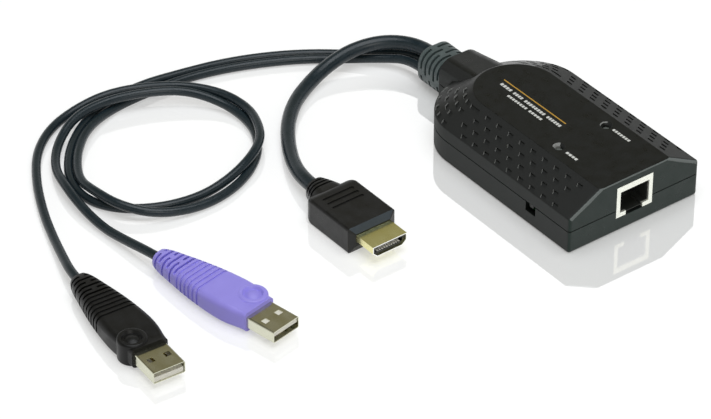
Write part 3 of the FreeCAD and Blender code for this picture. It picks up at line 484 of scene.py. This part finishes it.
flank_roughness = 0.60
flank_grey = (0.0095, 0.0105, 0.0100)
side_grey = (0.022, 0.0245, 0.0240)
front_grey = (0.009, 0.019, 0.0155)
rim_highlight_grey = (0.120, 0.135, 0.132)
painted_glint_grey = (0.24, 0.245, 0.24)
print_amber = (0.48, 0.27, 0.04)
print_white = (0.62, 0.62, 0.60)

case_black = grained_finish("case_black", (0.0045, 0.0060, 0.0055),
                            (0.007, 0.0085, 0.008), roughness=0.34, grain=3200,
                            patch=300, bump=0.02 * mm, specular=0.30)
printed_top = grained_finish("printed_top", (0.0022, 0.0030, 0.0027),
                             (0.0042, 0.0052, 0.0048), roughness=0.34, grain=3200,
                             patch=300, bump=0.02 * mm, specular=0.27)
side_inks = [(mask, side_grey) for mask in upright_sides]
tint(case_black, side_inks + [(front_mask, front_grey)])
tint(printed_top, [(mask, flank_grey) for mask in flanks] + side_inks
     + [(front_mask, front_grey), (rim_highlight_mask, rim_highlight_grey),
        (painted_glint_mask, painted_glint_grey),
        (mask_group("amber_print", amber_rule), print_amber),
        (mask_group("pale_print", pale_bars), print_white)])
dull(case_black, flanks, flank_roughness)
dull(printed_top, flanks, flank_roughness)
paint("top_cover", printed_top)
paint("bottom_cover", case_black)


# ---- Cord gland -----------------------------------------------------------
# Soft segmented sleeve of grey-green rubber, moulded round all three cords and
# held by the hole in the covers' neck. The cords' leads run on inside the box.
gland_grey = grained_finish("gland_grey", (0.055, 0.075, 0.076),
                            (0.075, 0.098, 0.100), roughness=0.42, grain=2200,
                            patch=260, bump=0.02 * mm)
paint("cable_gland", gland_grey)
paint("inner_leads", cord_jacket)


# ---- Network socket -------------------------------------------------------
# The shielded network socket in the front face: a folded nickel-plated shield
# with a pale rim, round a black moulded liner with gold contact wires.
nickel_plate = grained_finish("nickel_plate", (0.92, 0.94, 0.85), (0.97, 0.98, 0.90),
                              roughness=0.22, grain=1800, patch=180,
                              bump=0.004 * mm, metallic=0.7, spread=0.05)
liner_black = grained_finish("liner_black", (0.016, 0.018, 0.016),
                             (0.026, 0.028, 0.026), roughness=0.4, grain=2400,
                             patch=260, bump=0.01 * mm)
gold_flash = grained_finish("gold_flash", (0.72, 0.55, 0.22), (0.86, 0.70, 0.34),
                            roughness=0.2, grain=1800, patch=180,
                            bump=0.003 * mm, metallic=1.0, spread=0.04)
paint("network_socket_shield", nickel_plate)
paint("network_socket_insert", liner_black)
paint("network_socket_contacts", gold_flash)


# ---- Lights and switch ----------------------------------------------------
# Clear moulded light pipes between two small lamps and the holes in the top,
# and the recessed recovery slide switch with its black knob.
pipe_clear = grained_finish("pipe_clear", (0.10, 0.11, 0.10), (0.16, 0.17, 0.16),
                            roughness=0.25, grain=900, patch=200, bump=0.005 * mm)
for name in ("power_light_pipe", "link_light_pipe", "power_lamp", "link_lamp"):
    paint(name, pipe_clear)
paint("recovery_switch_body", liner_black)
paint("recovery_switch_knob", liner_black)


# ---- Board, chips and screws ---------------------------------------------
# What the closed box holds: a green board with its soldered chips and moulded
# wire headers. The zinc-plated screws hold the covers together from below.
board_green = grained_finish("board_green", (0.010, 0.070, 0.025),
                             (0.016, 0.095, 0.035), roughness=0.35, grain=1500,
                             patch=200, bump=0.01 * mm)
chip_black = grained_finish("chip_black", (0.012, 0.012, 0.012), (0.02, 0.02, 0.02),
                            roughness=0.55, grain=2400, patch=300, bump=0.01 * mm)
header_white = grained_finish("header_white", (0.62, 0.60, 0.52), (0.70, 0.68, 0.60),
                              roughness=0.4, grain=1500, patch=200, bump=0.01 * mm)
screw_zinc = grained_finish("screw_zinc", (0.42, 0.42, 0.42), (0.55, 0.55, 0.55),
                            roughness=0.3, grain=1500, patch=250,
                            bump=0.01 * mm, metallic=1.0)
paint("circuit_board", board_green)
for name in ("main_chip", "video_chip", "memory_chip", "flash_chip",
             "network_transformer"):
    paint(name, chip_black)
for name in ("clock_crystal", "power_capacitors"):
    paint(name, nickel_plate)
for name in ("display_wire_header", "usb_wire_header"):
    paint(name, header_white)
paint("case_screws", screw_zinc)


# ---- Display plug ---------------------------------------------------------
# Black overmoulded grip whose front bevel is painted slate grey as a painted
# reflection, round a folded sleeve with a gold flash, a black liner and
# contacts. The sleeve's near side is painted a darker gold as painted shade and
# its front rim near white as a painted highlight; the contacts are painted a
# pale, nearly matt white as a painted reflection of their metal's shine.
display_grip = grained_finish("display_grip", (0.005, 0.005, 0.005),
                              (0.009, 0.009, 0.009), roughness=0.34, grain=2400,
                              patch=260, bump=0.02 * mm, specular=0.30)
grip_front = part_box("hdmi_plug_grip")[1][0]
front_bevel = mask_group("bevel", [((grip_front, 0, 0), (4 * mm, 0, 0))],
                         facing=(0.92, 0.01, 0.39), limit=0.985)
painted_bevel_reflection = (0.034, 0.045, 0.057)
tint(display_grip, [(front_bevel, painted_bevel_reflection)])

sleeve_gold = grained_finish("sleeve_gold", (0.90, 0.88, 0.44), (0.98, 0.96, 0.52),
                             roughness=0.20, grain=1800, patch=180,
                             bump=0.004 * mm, metallic=1.0, spread=0.05)
sleeve_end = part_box("hdmi_plug_shell")[1][0]
# The sleeve's near side is painted a darker gold as painted shade.
sleeve_side = mask_group("sleeve_side", [((sleeve_end, 0, 0), (20 * mm, 0, 0))],
                         facing=(0, -1, 0), limit=0.8)
# The sleeve's front rim is painted near white as a painted highlight.
sleeve_rim = mask_group("sleeve_rim", [((sleeve_end, 0, 0), (1 * mm, 0, 0))],
                        facing=(1, 0, 0), limit=0.9)
shaded_side_gold = (0.80, 0.76, 0.40)
sleeve_rim_highlight = (0.97, 0.97, 0.93)
tint(sleeve_gold, [(sleeve_side, shaded_side_gold), (sleeve_rim, sleeve_rim_highlight)])

# The contacts are painted a pale, nearly matt white that stands for the shine of their
# metal: a painted reflection.
contact_bright = grained_finish("contact_bright", (0.92, 0.91, 0.84), (0.98, 0.97, 0.92),
                                roughness=0.25, grain=1800, patch=180,
                                bump=0.003 * mm, metallic=0.1)
paint("hdmi_plug_grip", display_grip)
paint("hdmi_plug_shell", sleeve_gold)
paint("hdmi_plug_insert", liner_black)
paint("hdmi_plug_contacts", contact_bright)


# ---- USB plugs ------------------------------------------------------------
# Two alike plugs, one grip black and one violet, each moulded round a folded
# steel sleeve with a white tongue and gold contacts.
grip_black = grained_finish("grip_black", (0.004, 0.004, 0.004), (0.007, 0.007, 0.007),
                            roughness=0.38, grain=2400, patch=260,
                            bump=0.02 * mm, specular=0.24)
grip_violet = grained_finish("grip_violet", (0.290, 0.248, 0.76), (0.320, 0.278, 0.81),
                             roughness=0.42, grain=2000, patch=220, bump=0.02 * mm)
sleeve_steel = grained_finish("sleeve_steel", (0.60, 0.60, 0.47), (0.68, 0.68, 0.55),
                              roughness=0.20, grain=1800, patch=180,
                              bump=0.004 * mm, metallic=1.0, spread=0.05)
tongue_white = grained_finish("tongue_white", (0.74, 0.72, 0.64), (0.80, 0.78, 0.70),
                              roughness=0.4, grain=1500, patch=200, bump=0.01 * mm)
for colour, grip in (("black", grip_black), ("violet", grip_violet)):
    paint("usb_%s_grip" % colour, grip)
    paint("usb_%s_shell" % colour, sleeve_steel)
    paint("usb_%s_insert" % colour, tongue_white)
    paint("usb_%s_contacts" % colour, gold_flash)
